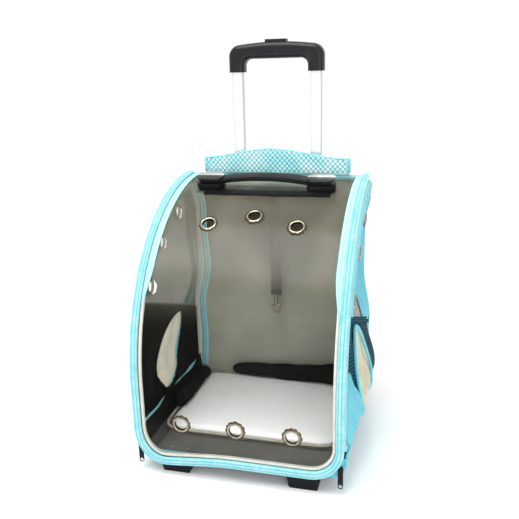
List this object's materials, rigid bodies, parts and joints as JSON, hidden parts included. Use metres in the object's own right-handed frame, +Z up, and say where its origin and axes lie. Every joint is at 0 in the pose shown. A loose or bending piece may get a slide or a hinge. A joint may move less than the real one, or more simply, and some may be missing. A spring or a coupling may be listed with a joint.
{
  "type": "wheeled pet carrier backpack",
  "caption": "Upright soft pet carrier with a clear curved hood, zipped side doors, padded back straps, rear wheels and a telescopic trolley handle.",
  "frame": {"origin": "on the floor, under the middle of the box that holds the part", "axes": "+X to the right seen from the front, +Y from the clear hood to the padded back, +Z up"},
  "size_m": [0.34, 0.3554, 0.6655],
  "materials": {
    "clear_vinyl": "clear glossy vinyl sheet with a smoky tint",
    "smoke_vinyl": "smoky vinyl sheet of the side windows",
    "cyan_binding": "woven bias binding over a round core, pale cyan",
    "cyan_cloth": "pale cyan woven cloth",
    "navy_mesh": "navy knitted air mesh",
    "leaf_vinyl": "cream translucent vinyl with soft folds",
    "dark_cloth": "black woven polyester",
    "mat_plush": "white short-pile plush with cream piping",
    "pad_mesh": "black sandwich air mesh over foam",
    "flap_net": "pale cyan cloth under a dark diamond net",
    "webbing": "olive grey woven webbing",
    "zip_tape": "dark teal coil zip",
    "board": "black textured stiffening board",
    "black_plastic": "black moulded plastic, fine texture",
    "grip_plastic": "black moulded grip with a bluish sheen",
    "cap_silver": "silver plated plastic end cap",
    "tube_aluminium": "bright anodised drawn tube",
    "nickel": "antique nickel plate",
    "steel": "zinc plated steel",
    "nylon": "natural nylon",
    "tyre": "black moulded rubber",
    "hub": "grey moulded hub"
  },
  "bodies": {
    "bag": {"hood_window": "clear_vinyl", "hood_binding": "cyan_binding", "hood_grommets": "nickel", "zip_chains": "zip_tape", "rear_piping": "cyan_binding", "zip_sliders": "black_plastic", "base_shell": "dark_cloth", "base_board": "board", "back_board": "board", "floor_mat": "mat_plush", "lining_rolls": "dark_cloth", "back_pad": "pad_mesh", "left_shoulder_strap": "pad_mesh", "right_shoulder_strap": "pad_mesh", "ladder_locks": "black_plastic", "strap_webbing": "webbing", "tether_strap": "webbing", "tether_anchor": "dark_cloth", "handle_mounts": "black_plastic", "handle_plate": "black_plastic", "outer_tubes": "tube_aluminium", "top_bracket": "black_plastic", "bottom_bracket": "black_plastic", "frame_screws": "steel", "wheel_axles": "steel", "wheel_housings": "black_plastic", "front_feet": "black_plastic"},
    "left_door": {"left_door_mesh": "navy_mesh", "left_door_window": "smoke_vinyl", "left_leaf_trim": "cyan_binding", "left_leaf_window": "leaf_vinyl", "left_door_binding": "cyan_binding", "left_door_grommets": "nickel"},
    "left_wheel": {"left_hub": "hub", "left_tyre": "tyre"},
    "left_pin": {"left_lock_pin": "steel"},
    "left_pull": {"left_zip_pull": "black_plastic"},
    "right_door": {"right_door_mesh": "navy_mesh", "right_door_window": "smoke_vinyl", "right_leaf_trim": "cyan_binding", "right_leaf_window": "leaf_vinyl", "right_door_binding": "cyan_binding", "right_door_grommets": "nickel"},
    "right_wheel": {"right_hub": "hub", "right_tyre": "tyre"},
    "right_pin": {"right_lock_pin": "steel"},
    "right_pull": {"right_zip_pull": "black_plastic"},
    "trolley_middle": {"middle_tubes": "tube_aluminium"},
    "trolley_inner": {"inner_tubes": "tube_aluminium", "grip_front": "grip_plastic", "grip_rear": "grip_plastic", "grip_screws": "steel", "lock_blocks": "nylon"},
    "release": {"release_button": "grip_plastic", "release_rods": "steel"},
    "carry_handle": {"carry_grip": "black_plastic", "handle_caps": "cap_silver"},
    "hook": {"hook_body": "nickel"},
    "gate": {"hook_gate": "nickel"},
    "flap": {"trolley_flap": "flap_net"}
  },
  "joints": [
    {"name": "left_door_hinge", "type": "hinge", "parent": "bag", "child": "left_door", "pos_m": [-0.1655, 0.11625, 0.25], "axis": [0, 0, -1], "range_deg": [0, 100]},
    {"name": "left_wheel_spin", "type": "hinge", "parent": "bag", "child": "left_wheel", "pos_m": [-0.112, 0.15075, 0.027], "axis": [1, 0, 0], "continuous": true},
    {"name": "left_pull_swing", "type": "hinge", "parent": "bag", "child": "left_pull", "pos_m": [-0.1605, -0.17135, 0.0462], "axis": [0, 1, 0], "range_deg": [0, 75]},
    {"name": "left_pin_retract", "type": "slide", "parent": "trolley_inner", "child": "left_pin", "axis": [1, 0, 0], "range_m": [0, 0.002]},
    {"name": "right_door_hinge", "type": "hinge", "parent": "bag", "child": "right_door", "pos_m": [0.1655, 0.11625, 0.25], "axis": [0, 0, 1], "range_deg": [0, 100]},
    {"name": "right_wheel_spin", "type": "hinge", "parent": "bag", "child": "right_wheel", "pos_m": [0.112, 0.15075, 0.027], "axis": [1, 0, 0], "continuous": true},
    {"name": "right_pull_swing", "type": "hinge", "parent": "bag", "child": "right_pull", "pos_m": [0.1605, -0.17135, 0.0462], "axis": [0, -1, 0], "range_deg": [0, 75]},
    {"name": "right_pin_retract", "type": "slide", "parent": "trolley_inner", "child": "right_pin", "axis": [-1, 0, 0], "range_m": [0, 0.002]},
    {"name": "middle_stage_slide", "type": "slide", "parent": "bag", "child": "trolley_middle", "axis": [0, 0, 1], "range_m": [0, 0.23]},
    {"name": "inner_stage_slide", "type": "slide", "parent": "trolley_middle", "child": "trolley_inner", "axis": [0, 0, 1], "range_m": [-0.16, 0.07]},
    {"name": "release_button_press", "type": "slide", "parent": "trolley_inner", "child": "release", "axis": [0, 0, -1], "range_m": [0, 0.004], "stiffness_N_per_m": 800, "springref_m": -0.005},
    {"name": "carry_handle_lift", "type": "slide", "parent": "bag", "child": "carry_handle", "axis": [0, -0.2588, 0.9659], "range_m": [0, 0.008]},
    {"name": "hook_swivel", "type": "hinge", "parent": "bag", "child": "hook", "pos_m": [0, 0.10005, 0.2], "axis": [0, 0, 1], "continuous": true},
    {"name": "hook_gate_swing", "type": "hinge", "parent": "hook", "child": "gate", "pos_m": [0.0064, 0.10005, 0.18757], "axis": [0, -1, 0], "range_deg": [0, 25], "stiffness_Nm_per_rad": 0.02, "springref_deg": -17.19},
    {"name": "flap_fold", "type": "hinge", "parent": "bag", "child": "flap", "pos_m": [0, 0.10855, 0.4383], "axis": [1, 0, 0], "range_deg": [0, 70]}
  ],
  "couplings": [
    {"joint": "left_pin_retract", "follows": "release_button_press", "ratio": 0.5},
    {"joint": "right_pin_retract", "follows": "release_button_press", "ratio": 0.5}
  ]
}
